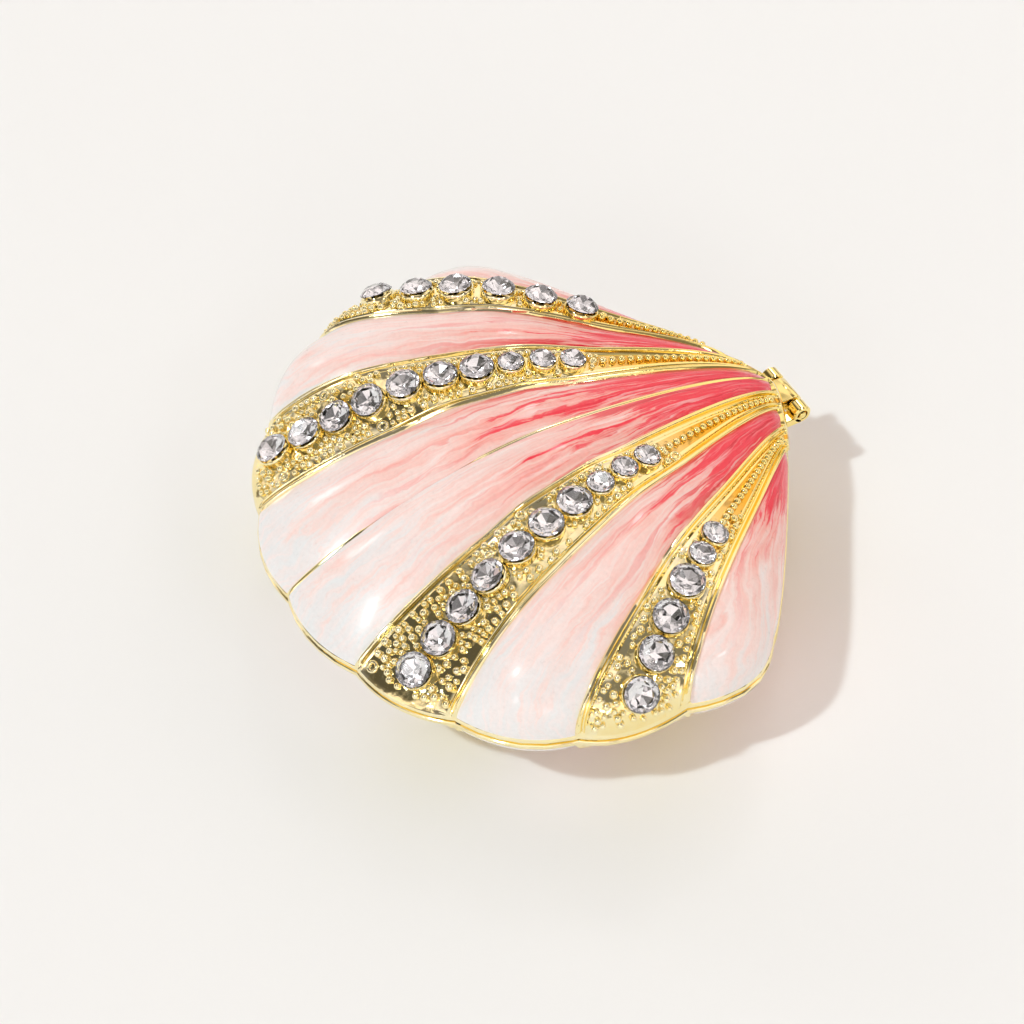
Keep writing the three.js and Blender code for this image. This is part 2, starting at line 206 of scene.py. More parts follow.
def relief(x, y, share):
    reach = math.hypot(x, apexY - y)
    angle = abs(math.atan2(x, apexY - y))
    cell = bisect.bisect_right(ribs, angle) - 1
    if cell == lastRib:
        spread, nearest = math.radians(shellForm["flankSpread"]), angle - ribs[cell]
    else:
        spread, nearest = ribs[cell + 1] - ribs[cell], min(angle - ribs[cell], ribs[cell + 1] - angle)
    halfWidth = reach * math.tan(spread / 2)
    fromRib = min(1.0, reach * math.sin(nearest) / halfWidth)
    crown = shellForm["bandCrown"] if cell % 2 else shellForm["padCrown"]
    bulge = (shellForm["ribDip"] + crown) * (1 - (1 - fromRib) ** 2) - shellForm["ribDip"]
    return bulge * min(1.0, halfWidth / shellForm["fullHalfWidth"]) * (1 - share ** shellForm["reliefFade"])


def surfaceHeight(x, y, dome):
    angle = angleRoundCrown(x, y)
    share = min(1.0, math.hypot(x, y - crownY) / rimRadius(angle))
    return rimHeight + (dome["rise"] - rimHeight) * domeShare(dome, angle, share) + relief(x, y, share)


def surfaceNormal(x, y, dome, step=0.05):
    slopeX = surfaceHeight(x + step, y, dome) - surfaceHeight(x - step, y, dome)
    slopeY = surfaceHeight(x, y + step, dome) - surfaceHeight(x, y - step, dome)
    return Vector((-slopeX, -slopeY, 2 * step)).normalized()


def surfaceAt(plan, dome, lift=0.0):
    x, y = plan
    point = Vector((x, y, surfaceHeight(x, y, dome)))
    return point + surfaceNormal(x, y, dome) * lift if lift else point


# Lines of the fan, measured along the surface

class FanLine:
    def __init__(self, angle, dome, samples=90):
        self.angle = angle
        self.shares = [(1 - math.cos(math.pi * i / samples)) / 2 for i in range(samples + 1)]
        points = [surfaceAt(fanPlan(angle, t), dome) for t in self.shares]
        self.lengths = [0.0]
        for a, b in zip(points, points[1:]):
            self.lengths.append(self.lengths[-1] + (b - a).length)
        self.length = self.lengths[-1]

    def shareAt(self, length):
        i = clamp(bisect.bisect_left(self.lengths, length), 1, len(self.lengths) - 1)
        a, b = self.lengths[i - 1], self.lengths[i]
        return lerp(self.shares[i - 1], self.shares[i], clamp((length - a) / (b - a)))

    def planAt(self, length):
        return fanPlan(self.angle, self.shareAt(length))


fanLines = {}


def fanLine(angle, dome):
    key = (angle, dome["rise"])
    if key not in fanLines:
        fanLines[key] = FanLine(angle, dome)
    return fanLines[key]


def signedRib(k):
    return math.copysign(ribs[abs(k)], k)


def onFlank(side, across, share, dome):
    line = fanLine(side * ribs[lastRib], dome)
    inner = line.planAt(line.length * share)
    innerAngle = angleRoundCrown(*inner)
    innerShare = min(1.0, (inner - Vector((0, crownY))).length / rimRadius(innerAngle))
    beakAngle = angleRoundCrown(*fanPlan(line.angle, 0))
    outerAngle = lerp(beakAngle, side * math.radians(shellForm["shoulder"]), share)
    angle = lerp(innerAngle, outerAngle, across)
    radius = rimRadius(angle) * lerp(innerShare, 1.0, across)
    return Vector((radius * math.sin(angle), crownY - radius * math.cos(angle)))


def flankWidth(side, share, dome):
    return (onFlank(side, 1.0, share, dome) - onFlank(side, 0.0, share, dome)).length


# Mesh helpers

sameSpot = 1e-6  # metres
weld = 1e-4  # millimetres, in parts that are made before they are placed


def finishPiece(name, bm, materials, body, nodes=(), sharpAngle=None, smooth=True):
    for face in bm.faces:
        face.smooth = smooth
    mesh = bpy.data.meshes.new(name)
    bm.to_mesh(mesh)
    bm.free()
    for material in materials:
        mesh.materials.append(material)
    if sharpAngle:
        mesh.set_sharp_from_angle(angle=math.radians(sharpAngle))
    piece = bpy.data.objects.new(name, mesh)
    bpy.context.scene.collection.objects.link(piece)
    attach(piece, body)
    if nodes:
        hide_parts(*nodes)
    return piece


def gridSheet(bm, columns, rows, pointAt):
    spots = {}
    for vert in bmesh.ops.create_grid(bm, x_segments=columns, y_segments=rows, size=1)["verts"]:
        spots[vert] = (round((vert.co.x + 1) / 2 * columns), round((vert.co.y + 1) / 2 * rows))
        vert.co = pointAt(*spots[vert])
    return spots


def thicken(bm):
    depth = bm.verts.layers.float["depth"]
    bm.normal_update()
    sunk = {vert: vert.co - vert.normal * vert[depth] for vert in bm.verts}
    bmesh.ops.extrude_face_region(bm, geom=bm.faces[:], use_keep_orig=True)
    for vert, place in sunk.items():
        vert.co = place
    bmesh.ops.remove_doubles(bm, verts=bm.verts, dist=sameSpot)
    bmesh.ops.recalc_face_normals(bm, faces=bm.faces)


def turnOver(bm):
    middle = toRow((0, 0, 0)).z
    for vert in bm.verts:
        vert.co.z = 2 * middle - vert.co.z


def cutOff(bm, point, normal):
    everything = bm.verts[:] + bm.edges[:] + bm.faces[:]
    return bmesh.ops.bisect_plane(bm, geom=everything, plane_co=point, plane_no=normal,
                                  clear_outer=True)["geom_cut"]


def borderLoop(bm):
    return [e for e in bm.edges if e.is_boundary]


def extrudeBorder(bm, edges, moveTo):
    made = bmesh.ops.extrude_edge_only(bm, edges=edges)["geom"]
    for vert in (g for g in made if isinstance(g, bmesh.types.BMVert)):
        vert.co = moveTo(vert.co)
    return [g for g in made if isinstance(g, bmesh.types.BMEdge) and g.is_boundary]


def addMesh(bm, other, matrix=None):
    mesh = bpy.data.meshes.new("part")
    if matrix:
        bmesh.ops.transform(other, matrix=matrix, verts=other.verts)
    other.to_mesh(mesh)
    other.free()
    bm.from_mesh(mesh)
    bpy.data.meshes.remove(mesh)


def upright(point, normal):
    return Matrix.Translation(point) @ normal.to_track_quat("Z", "Y").to_matrix().to_4x4()


# Materials

def fromScreen(r, g, b):
    def linear(c):
        c /= 255
        return c / 12.92 if c <= 0.04045 else ((c + 0.055) / 1.055) ** 2.4
    return (linear(r), linear(g), linear(b), 1)


class NodeBench:
    def __init__(self, tree):
        self.tree = tree

    def add(self, kind, values=None, **settings):
        node = self.tree.nodes.new(kind)
        for key, value in settings.items():
            setattr(node, key, value)
        for socket, value in (values or {}).items():
            if isinstance(value, bpy.types.NodeSocket):
                self.tree.links.new(value, node.inputs[socket])
            else:
                node.inputs[socket].default_value = value
        return node

    def math(self, operation, a, b=0.0):
        return self.add("ShaderNodeMath", {0: a, 1: b}, operation=operation).outputs[0]

    def noise(self, vector, scale, detail=3.0, roughness=0.5, distortion=0.0):
        node = self.add("ShaderNodeTexNoise", {"Vector": vector, "Scale": scale, "Detail": detail,
                                               "Roughness": roughness, "Distortion": distortion})
        return node.outputs["Fac"]

    def mix(self, factor, a, b, blend="MIX"):
        node = self.add("ShaderNodeMix", {0: factor, 6: a, 7: b}, data_type="RGBA", blend_type=blend)
        return node.outputs[2]

    def ramp(self, factor, stops):
        node = self.add("ShaderNodeValToRGB", {"Fac": factor})
        elements = node.color_ramp.elements
        while len(elements) < len(stops):
            elements.new(0.5)
        for element, (position, colour) in zip(elements, stops):
            element.position = position
            element.color = colour
        return node.outputs["Color"]

    def spread(self, value, low, high, toLow=0.0, toHigh=1.0):
        node = self.add("ShaderNodeMapRange", {"Value": value, "From Min": low, "From Max": high,
                                               "To Min": toLow, "To Max": toHigh}, clamp=True)
        return node.outputs[0]


def startMaterial(name):
    material = bpy.data.materials.new(name)
    material.use_nodes = True
    bench = NodeBench(material.node_tree)
    shader = material.node_tree.nodes["Principled BSDF"]
    return material, bench, shader


# Cast metal: scale, detail and roughness of each noise
castSurface = {"wave": (420.0, 2.0), "pits": (2600.0, 2.0), "stain": (240.0, 4.0, 0.6),
               "stainRange": (0.3, 0.7), "bump": {"Strength": 1.0, "Distance": 0.0003}}


def makeCastGroup():
    group = bpy.data.node_groups.new("castSurface", "ShaderNodeTree")
    group.interface.new_socket("Wave", in_out="INPUT", socket_type="NodeSocketFloat")
    group.interface.new_socket("Pits", in_out="INPUT", socket_type="NodeSocketFloat")
    group.interface.new_socket("Height", in_out="OUTPUT", socket_type="NodeSocketFloat")
    group.interface.new_socket("Stain", in_out="OUTPUT", socket_type="NodeSocketFloat")
    bench = NodeBench(group)
    inlet = bench.add("NodeGroupInput")
    outlet = bench.add("NodeGroupOutput")
    place = bench.add("ShaderNodeTexCoord").outputs["Object"]
    wave = bench.noise(place, *castSurface["wave"])
    pits = bench.noise(place, *castSurface["pits"])
    height = bench.math("ADD", bench.math("MULTIPLY", wave, inlet.outputs["Wave"]),
                        bench.math("MULTIPLY", pits, inlet.outputs["Pits"]))
    stain = bench.noise(place, *castSurface["stain"])
    group.links.new(height, outlet.inputs["Height"])
    group.links.new(stain, outlet.inputs["Stain"])
    return group


castGroup = makeCastGroup()


def makeGold(name, look):
    material, bench, shader = startMaterial(name)
    cast = bench.add("ShaderNodeGroup", node_tree=castGroup)
    cast.inputs["Wave"].default_value = look["wave"]
    cast.inputs["Pits"].default_value = look["pits"]
    stain = cast.outputs["Stain"]
    colour = bench.mix(bench.spread(stain, *castSurface["stainRange"]), look["deep"], look["light"])
    # Painted reflection: towards the beak the colour is mixed into a deeper, warmer gold
    if "beak" in look:
        place = bench.add("ShaderNodeTexCoord").outputs["Object"]
        toBeak = bench.add("ShaderNodeSeparateXYZ", {0: place}).outputs["Y"]
        colour = bench.mix(bench.spread(toBeak, *look["beakReflectionFrom"]), colour, look["beak"])
    rough = bench.spread(stain, *castSurface["stainRange"], look["roughest"], look["smoothest"])
    bump = bench.add("ShaderNodeBump", {"Height": cast.outputs["Height"], **castSurface["bump"]})
    links = bench.tree.links
    links.new(colour, shader.inputs["Base Color"])
    links.new(rough, shader.inputs["Roughness"])
    links.new(bump.outputs["Normal"], shader.inputs["Normal"])
    shader.inputs["Metallic"].default_value = 1.0
    return material


# The gold's light and deep colours are paler than the metal: partly painted highlight, standing in for its
# small white glints. Towards the beak the colour turns deeper, a painted warm reflection, strongest on the
# beds of the bands, which are also wavier
beakReflectionSpan = (0.004, 0.014)
polishedGold = makeGold("polishedGold", {"light": fromScreen(255, 247, 212),
                                         "deep": fromScreen(254, 236, 170),
                                         "beak": fromScreen(252, 228, 146), "beakReflectionFrom": beakReflectionSpan,
                                         "smoothest": 0.04, "roughest": 0.1, "wave": 0.14, "pits": 0.02})
bedGold = makeGold("bedGold", {"light": fromScreen(255, 244, 198), "deep": fromScreen(253, 230, 154),
                               "beak": fromScreen(233, 174, 58), "beakReflectionFrom": beakReflectionSpan,
                               "smoothest": 0.04, "roughest": 0.12, "wave": 1.0, "pits": 0.05})

# Enamel: colours follow the pad from its beak end (0) to its rim (1)
enamelLook = {
    "body": [(0.0, fromScreen(244, 62, 82)), (0.24, fromScreen(246, 46, 64)),
             (0.32, fromScreen(246, 84, 92)), (0.37, fromScreen(250, 166, 154)),
             (0.48, fromScreen(251, 194, 182)), (0.6, fromScreen(251, 212, 202)),
             (0.72, fromScreen(250, 224, 216)), (0.84, fromScreen(243, 232, 228)),
             (1.0, fromScreen(238, 235, 233))],
    "drift": {"ribbon": 0.85, "thread": 0.55, "cloud": 0.16},  # how far the streaks carry the body colour
    "streak": [(0.3, fromScreen(222, 10, 40)), (0.42, fromScreen(240, 72, 78)),
               (0.6, fromScreen(248, 140, 130))],
    "streakAtEdge": 0.12,
    "streakOnThread": 0.25,
    "streakFrom": (0.065, 0.15),
    "streakFade": (0.36, 0.78, 0.95, 0.0),
    "milk": fromScreen(254, 234, 228),
    "milkFrom": (0.02, 0.2, 0.0, 0.65),
    "milkFade": (0.1, 0.35, 0.35, 1.0),
    "beakMilk": fromScreen(240, 160, 164),
    "beakFade": (0.015, 0.06, 0.8, 0.0),
    "beakCloud": (-0.1, 0.1),
    "mica": (2600.0, 3.0, 0.7),
    # painted glint: how far the fine noise lightens and darkens the enamel's colour
    "micaGlintTone": (0.3, 0.72, 0.96, 1.03),
    "micaRoughness": (0.3, 0.7, 0.26, 0.42),
    "micaHeight": 0.3,
    "bump": {"Strength": 0.05, "Distance": 0.0002},
    "gloss": {"Specular IOR Level": 0.3, "Coat Weight": 0.5, "Coat Roughness": 0.07},
}
# Marbling: frequencies across and along the pad in 1/mm, then seed, detail and distortion of the noise
marbling = {
    "sway": (0.25, 0.1, 3.0, 2.0, 0.0),
    "fold": (0.9, 0.3, 5.0, 2.0, 1.0),
    "ribbon": (0.6, 0.05, 7.0, 3.0, 0.4),
    "thread": (2.6, 0.14, 1.0, 4.0, 0.2),
    "vein": (0.85, 0.055, 11.0, 4.0, 0.35),
    "pale": (1.7, 0.09, 17.0, 3.0, 0.2),
    "cloud": (0.4, 0.35, 23.0, 4.0, 0.6),
}
marblingShift = {"sway": 2.6, "fold": 0.8}  # millimetres
marblingRoughness = 0.62


def makeEnamel(name):
    material, bench, shader = startMaterial(name)

    def padMap(uvMap):
        spot = bench.add("ShaderNodeUVMap", uv_map=uvMap).outputs["UV"]
        return bench.add("ShaderNodeSeparateXYZ", {0: spot}).outputs

    across, along = padMap("flow")[0:2]
    sideways, share = padMap("place")[0:2]

    def streaks(x, key):
        perAcross, perAlong, seed, detail, distortion = marbling[key]
        wide = bench.math("MULTIPLY", x, perAcross)
        long = bench.math("MULTIPLY", along, perAlong)
        spot = bench.add("ShaderNodeCombineXYZ", {0: wide, 1: long, 2: seed}).outputs[0]
        return bench.math("SUBTRACT", bench.noise(spot, 1.0, detail, marblingRoughness, distortion), 0.5)

    def plus(value, other, amount):
        return bench.math("ADD", value, bench.math("MULTIPLY", other, amount))

    def both(a, b):
        return bench.math("MULTIPLY", a, b)

    def spreadBy(value, key):
        return bench.spread(value, *enamelLook[key])

    # Streaks run along the ribs, sway, and fold over each other
    bent = plus(across, streaks(across, "sway"), marblingShift["sway"])
    bent = plus(bent, streaks(across, "fold"), marblingShift["fold"])
    ribbon, thread, vein, pale = (streaks(bent, key) for key in ("ribbon", "thread", "vein", "pale"))
    cloud = streaks(across, "cloud")

    drift = plus(share, ribbon, enamelLook["drift"]["ribbon"])
    drift = plus(drift, thread, enamelLook["drift"]["thread"])
    drift = plus(drift, cloud, enamelLook["drift"]["cloud"])
    body = bench.ramp(drift, enamelLook["body"])
    toEdge = bench.math("ABSOLUTE", bench.math("SUBTRACT", sideways, 0.5))
    redness = plus(plus(vein, toEdge, enamelLook["streakAtEdge"]), thread, enamelLook["streakOnThread"])
    red = both(spreadBy(redness, "streakFrom"), spreadBy(share, "streakFade"))
    milky = both(spreadBy(pale, "milkFrom"), spreadBy(share, "milkFade"))
    coloured = bench.mix(milky, body, enamelLook["milk"])
    coloured = bench.mix(red, coloured, bench.ramp(share, enamelLook["streak"]))
    beakEnd = both(spreadBy(share, "beakFade"), spreadBy(cloud, "beakCloud"))
    coloured = bench.mix(beakEnd, coloured, enamelLook["beakMilk"])
    # Painted glint: a fine noise lightens and darkens the enamel's colour in specks, the shimmer of pearly
    # flakes painted in; the same noise also varies the roughness and the bump
    mica = bench.noise(bench.add("ShaderNodeTexCoord").outputs["Object"], *enamelLook["mica"])
    glintTone = spreadBy(mica, "micaGlintTone")
    glintGrey = bench.add("ShaderNodeCombineColor", {0: glintTone, 1: glintTone, 2: glintTone}).outputs[0]
    height = plus(thread, mica, enamelLook["micaHeight"])
    bump = bench.add("ShaderNodeBump", {"Height": height, **enamelLook["bump"]})
    links = bench.tree.links
    links.new(bench.mix(1.0, coloured, glintGrey, "MULTIPLY"), shader.inputs["Base Color"])
    links.new(spreadBy(mica, "micaRoughness"), shader.inputs["Roughness"])
    links.new(bump.outputs["Normal"], shader.inputs["Normal"])
    for socket, value in enamelLook["gloss"].items():
        shader.inputs[socket].default_value = value
    return material


pearlEnamel = makeEnamel("pearlEnamel")


glassLook = {"Base Color": (1, 1, 1, 1), "Roughness": 0.0, "IOR": 1.58, "Transmission Weight": 1.0}
foilLook = {"tarnish": (700.0, 3.0), "tones": [(0.3, (0.8, 0.81, 0.84, 1)), (0.7, (0.97, 0.97, 0.98, 1))],
            "roughness": (0.3, 0.7, 0.03, 0.1)}


def makeStoneGlass():
    material, _, shader = startMaterial("stoneGlass")
    for socket, value in glassLook.items():
        shader.inputs[socket].default_value = value
    return material


def makeStoneFoil():
    material, bench, shader = startMaterial("stoneFoil")
    tarnish = bench.noise(bench.add("ShaderNodeTexCoord").outputs["Object"], *foilLook["tarnish"])
    links = bench.tree.links
    links.new(bench.ramp(tarnish, foilLook["tones"]), shader.inputs["Base Color"])
    links.new(bench.spread(tarnish, *foilLook["roughness"]), shader.inputs["Roughness"])
    shader.inputs["Metallic"].default_value = 1.0
    return material


stoneGlass = makeStoneGlass()
stoneFoil = makeStoneFoil()
print("materials ready")

# Castings: gold cells for the enamel between raised borders, one plain grid over each valve

casting = {
    "rows": 150,
    "bandColumns": 9,
    "padColumns": 5,
    "flankColumns": [0.1, 0.25, 0.45, 0.65, 0.8, 0.9, 0.96, 0.99, 1.0],
    "flankEdge": 0.6,
    "flankEdgeMost": 0.5,  # as a share of the flank
    "flankRoom": 1.2,  # where the flank is narrower, the outer border shrinks with it
    "flankClimb": 14,  # how steeply the flank's cell rises to the rim
    "flankFull": 3,
    "recess": 0.5,  # floor of an enamel cell under the surface
    "edgeShare": 0.012,  # of a fan line, where the cell's floor climbs to the rim
    "beakLip": (0.012, 0.022, 0.038, 0.046),  # shares of a fan line across the lip that closes the beak
    "beakLipRise": 0.28,
    "fullReach": 13.7,  # nearer the fan's apex the borders draw together
    "wall": 2.2,
    "roof": 2.6,
    "floorThickness": 1.8,
    # across a border from its enamel side to its stone side: offset and height
    "border": [(-0.42, -0.5), (-0.26, -0.1), (-0.22, 0.12), (-0.12, 0.25), (0.0, 0.28), (0.12, 0.22),
               (0.2, 0.02), (0.28, -0.2), (0.4, -0.2), (0.48, 0.06), (0.58, 0.14), (0.68, 0.06),
               (0.78, -0.06)],
    "bedInset": 0.8,  # from a border's middle to the bed of a band, and to the floor of a cell
    "cellInset": 0.42,
    "centreLine": [(-0.4, -0.5), (-0.24, -0.1), (-0.18, 0.08), (0.0, 0.17), (0.18, 0.08), (0.24, -0.1),
                   (0.4, -0.5)],
    "centreFade": (0.60, 0.66, 0.78, 0.86),  # shares of a fan line where enamel covers the centre line
    "centreSink": 0.35,
    "rim": [(0.10, 0.62), (0.13, 0.42), (0.10, 0.24), (0.02, 0.15)],  # outward, height
    "voidRings": 9,
    "weld": 0.004,
}


def fanStations():
    stations = []
    for k in range(-lastRib, lastRib + 1):
        if k == 0:
            profile = casting["centreLine"]
        else:
            turn = 1 if (abs(k) % 2 == 1) == (k > 0) else -1  # enamel lies at the profile's negative side
            profile = sorted((offset * turn, lift) for offset, lift in casting["border"])
        stations += [{"rib": k, "offset": offset, "lift": lift} for offset, lift in profile]
        if k < lastRib:
            isBand = min(abs(k), abs(k + 1)) % 2 == 1
            count = casting["bandColumns"] if isBand else casting["padColumns"]
            lift = 0 if isBand else -casting["recess"]
            for i in range(1, count):
                stations.append({"rib": k, "part": i / count, "lift": lift, "bed": isBand})
    return stations


def centreCover(share):
    c0, c1, c2, c3 = casting["centreFade"]
    return smoothStep(share, c0, c1) - smoothStep(share, c2, c3)


def stationPlan(station, share, dome):
    angle = signedRib(station["rib"])
    line = fanLine(angle, dome)
    t = line.shareAt(line.length * share)
    reach = fromApex(fanPlan(angle, t))
    drawn = min(1.0, reach / casting["fullReach"])
    if "part" in station:
        inset = casting["bedInset" if station["bed"] else "cellInset"] * drawn / reach
        angle = lerp(angle + inset, signedRib(station["rib"] + 1) - inset, station["part"])
    else:
        offset = station["offset"] * drawn
        if abs(station["rib"]) == lastRib and offset * angle > 0:
            side = math.copysign(1, angle)
            offset *= clamp(flankWidth(side, share, dome) / casting["flankRoom"])
        angle += offset / reach
    return fanPlan(angle, t)


def makeValve(dome):
    bm = bmesh.new()
    rows = casting["rows"]
    shares = [closerAtEnds(i / rows) for i in range(rows + 1)]
    stations = fanStations()
    flanks = len(casting["flankColumns"])
    b0, b1, b2, b3 = casting["beakLip"]

    def flankPoint(side, across, share, ease):
        width = flankWidth(side, share, dome)
        across = lerp(min(casting["flankEdgeMost"], casting["flankEdge"] / max(width, 0.01)), 1.0, across)
        climb = clamp((1 - across) * casting["flankClimb"]) * clamp(width / casting["flankFull"])
        lift = -casting["recess"] * ease * climb
        return toRow(surfaceAt(onFlank(side, across, share, dome), dome, lift))

    def pointAt(column, row):
        share = shares[row]
        ease = clamp(min(share, 1 - share) / casting["edgeShare"])
        if column < flanks:
            return flankPoint(-1, casting["flankColumns"][flanks - 1 - column], share, ease)
        if column >= flanks + len(stations):
            return flankPoint(1, casting["flankColumns"][column - flanks - len(stations)], share, ease)
        station = stations[column - flanks]
        lift = station["lift"]
        if station["rib"] == 0 and "offset" in station:
            lift -= casting["centreSink"] * centreCover(share)
        lip = smoothStep(share, b0, b1) - smoothStep(share, b2, b3)
        lift = lerp(lift * ease, casting["beakLipRise"], lip)
        return toRow(surfaceAt(stationPlan(station, share, dome), dome, lift))

    spots = gridSheet(bm, 2 * flanks + len(stations) - 1, rows, pointAt)
    beds = {flanks + i for i, station in enumerate(stations) if station.get("bed")}
    for face in bm.faces:
        face.material_index = 1 if all(spots[vert][0] in beds for vert in face.verts) else 0
    foot = dome.get("foot")
    if foot:
        cut = cutOff(bm, toRow((0, 0, foot)), (0, 0, 1))
        bmesh.ops.edgeloop_fill(bm, edges=[g for g in cut if isinstance(g, bmesh.types.BMEdge)])

    def polar(co):
        return angleRoundCrown(co.x / mm - shift.x, co.y / mm - shift.y)

    def outward(height, grow):
        return lambda co: toRow((*rimPoint(polar(co), grow), height))

    def inward(share, height=None):
        def move(co):
            angle = polar(co)
            radius = (notchRadius(angle) - casting["wall"]) * share
            z = height
            if height is None:
                z = (dome["rise"] - casting["roof"]) * domeShare(dome, angle, share)
            if foot:
                z = min(z, foot - casting["floorThickness"])
            return toRow((radius * math.sin(angle), crownY - radius * math.cos(angle), z))
        return move

    outside = set(bm.faces)
    rimEdges = borderLoop(bm)
    for grow, height in casting["rim"]:
        rimEdges = extrudeBorder(bm, rimEdges, outward(height, grow))
    rimEdges = extrudeBorder(bm, rimEdges, inward(1.0, shellForm["rimGap"] / 2))
    rings = casting["voidRings"]
    for i in range(1, rings):
        rimEdges = extrudeBorder(bm, rimEdges, inward(math.cos(i / rings * math.pi / 2)))
    bmesh.ops.edgeloop_fill(bm, edges=rimEdges)
    for face in set(bm.faces) - outside:
        face.material_index = 0
    if foot:
        turnOver(bm)
    bmesh.ops.remove_doubles(bm, verts=bm.verts, dist=casting["weld"] * mm)
    bmesh.ops.recalc_face_normals(bm, faces=bm.faces)
    return bm


# Hinge

hinge = {"barrel": 1.05, "bore": 0.62, "length": 6.8, "lidKnuckle": 3.2, "gap": 0.3, "leaf": 3.4,
         "pin": 0.42, "pinHead": 0.12, "edge": 0.14, "steps": 28, "pinSides": 24}
onHinge = Matrix.Translation(toRow((0, shellForm["hingeY"], 0))) @ Matrix.Scale(mm, 4)


def addKnuckle(bm, fromX, toX, up):
    part = bmesh.new()
    e, outer, inner = hinge["edge"], hinge["barrel"], hinge["bore"]
    profile = [(fromX + e, outer), (toX - e, outer), (toX, outer - e), (toX, inner), (fromX, inner),
               (fromX, outer - e)]
    verts = [part.verts.new((x, r, 0)) for x, r in profile]
    edges = [part.edges.new((a, b)) for a, b in zip(verts, verts[1:] + verts[:1])]
    bmesh.ops.spin(part, geom=verts + edges, cent=(0, 0, 0), axis=(1, 0, 0), angle=math.tau,
                   steps=hinge["steps"], use_merge=True)
    bmesh.ops.remove_doubles(part, verts=part.verts, dist=weld)
    bmesh.ops.recalc_face_normals(part, faces=part.faces)
    low, high = sorted((up * shellForm["rimGap"] / 2, up * outer))
    leaf = bmesh.new()
    bmesh.ops.create_cube(leaf, size=1)
    bmesh.ops.scale(leaf, vec=(toX - fromX, hinge["leaf"], high - low), verts=leaf.verts)
    middle = ((fromX + toX) / 2, -hinge["leaf"] / 2, (low + high) / 2)
    bmesh.ops.translate(leaf, vec=middle, verts=leaf.verts)
    bmesh.ops.bevel(leaf, geom=leaf.edges[:], offset=e, offset_type="OFFSET", segments=2, profile=0.5,
                    affect="EDGES", material=-1)
    addMesh(part, leaf)
    addMesh(bm, part, onHinge)


halfLid = hinge["lidKnuckle"] / 2
lidMesh = makeValve(lidDome)
addKnuckle(lidMesh, -halfLid, halfLid, 1)
lidPiece = finishPiece("lid_casting", lidMesh, [polishedGold, bedGold], "lid", ["lid"], sharpAngle=50)
print("lid casting", len(lidPiece.data.polygons))

baseMesh = makeValve(baseDome)
for side in (-1, 1):
    ends = sorted((side * (halfLid + hinge["gap"]), side * hinge["length"] / 2))
    addKnuckle(baseMesh, *ends, -1)
basePiece = finishPiece("base_casting", baseMesh, [polishedGold, bedGold], "base", ["base"], sharpAngle=20)
print("base casting", len(basePiece.data.polygons))

pinMesh = bmesh.new()
bmesh.ops.create_cone(pinMesh, cap_ends=True, segments=hinge["pinSides"], radius1=hinge["pin"],
                      radius2=hinge["pin"], depth=hinge["length"] + 2 * hinge["pinHead"])
endEdges = [e for e in pinMesh.edges if abs(e.verts[0].co.z - e.verts[1].co.z) < weld]
bmesh.ops.bevel(pinMesh, geom=endEdges, offset=hinge["pinHead"], offset_type="OFFSET", segments=4,
                profile=0.5, affect="EDGES", material=-1)
bmesh.ops.transform(pinMesh, matrix=onHinge @ Matrix.Rotation(math.pi / 2, 4, "Y"), verts=pinMesh.verts)
finishPiece("hinge_pin_round", pinMesh, [polishedGold], "base", ["hinge_pin"], sharpAngle=50)
print("hinge ready")

# Enamel pads, poured between the borders

pads = [(-1, lastRib), (-1, 2), (-1, 0), (1, 0), (1, 2), (1, lastRib)]
pour = {
    "columns": 26,
    "rows": 96,
    "tuck": 0.16,  # how far from a border's middle the enamel starts
    "centreTuck": 0.13,
    "lift": 0.03,
    "slump": 0.16,  # the edge lies this far under the pad's surface
    "slumpWidth": 0.45,
    "thickness": 0.4,
    "beakStart": 0.044,
    "flankStart": 0.05,
    "flankGather": 1.7,  # draws the columns together at the rim
    "flankTuckMost": 0.4,  # as a share of the flank
    "flankRimShare": 1.5,
    "rimEase": 60,
    "rimTaper": 20,
    "padSpacing": 23.0,  # sets the marbling of the pads apart
    "coralReach": [0, 0.03, 0.06, 0, -0.01, 0.04],  # how much further the coral runs on each pad
    "footClearance": 1.4,
    "bareBack": {"halfWidth": 16, "fromY": 6},  # the base is plain behind its foot
}


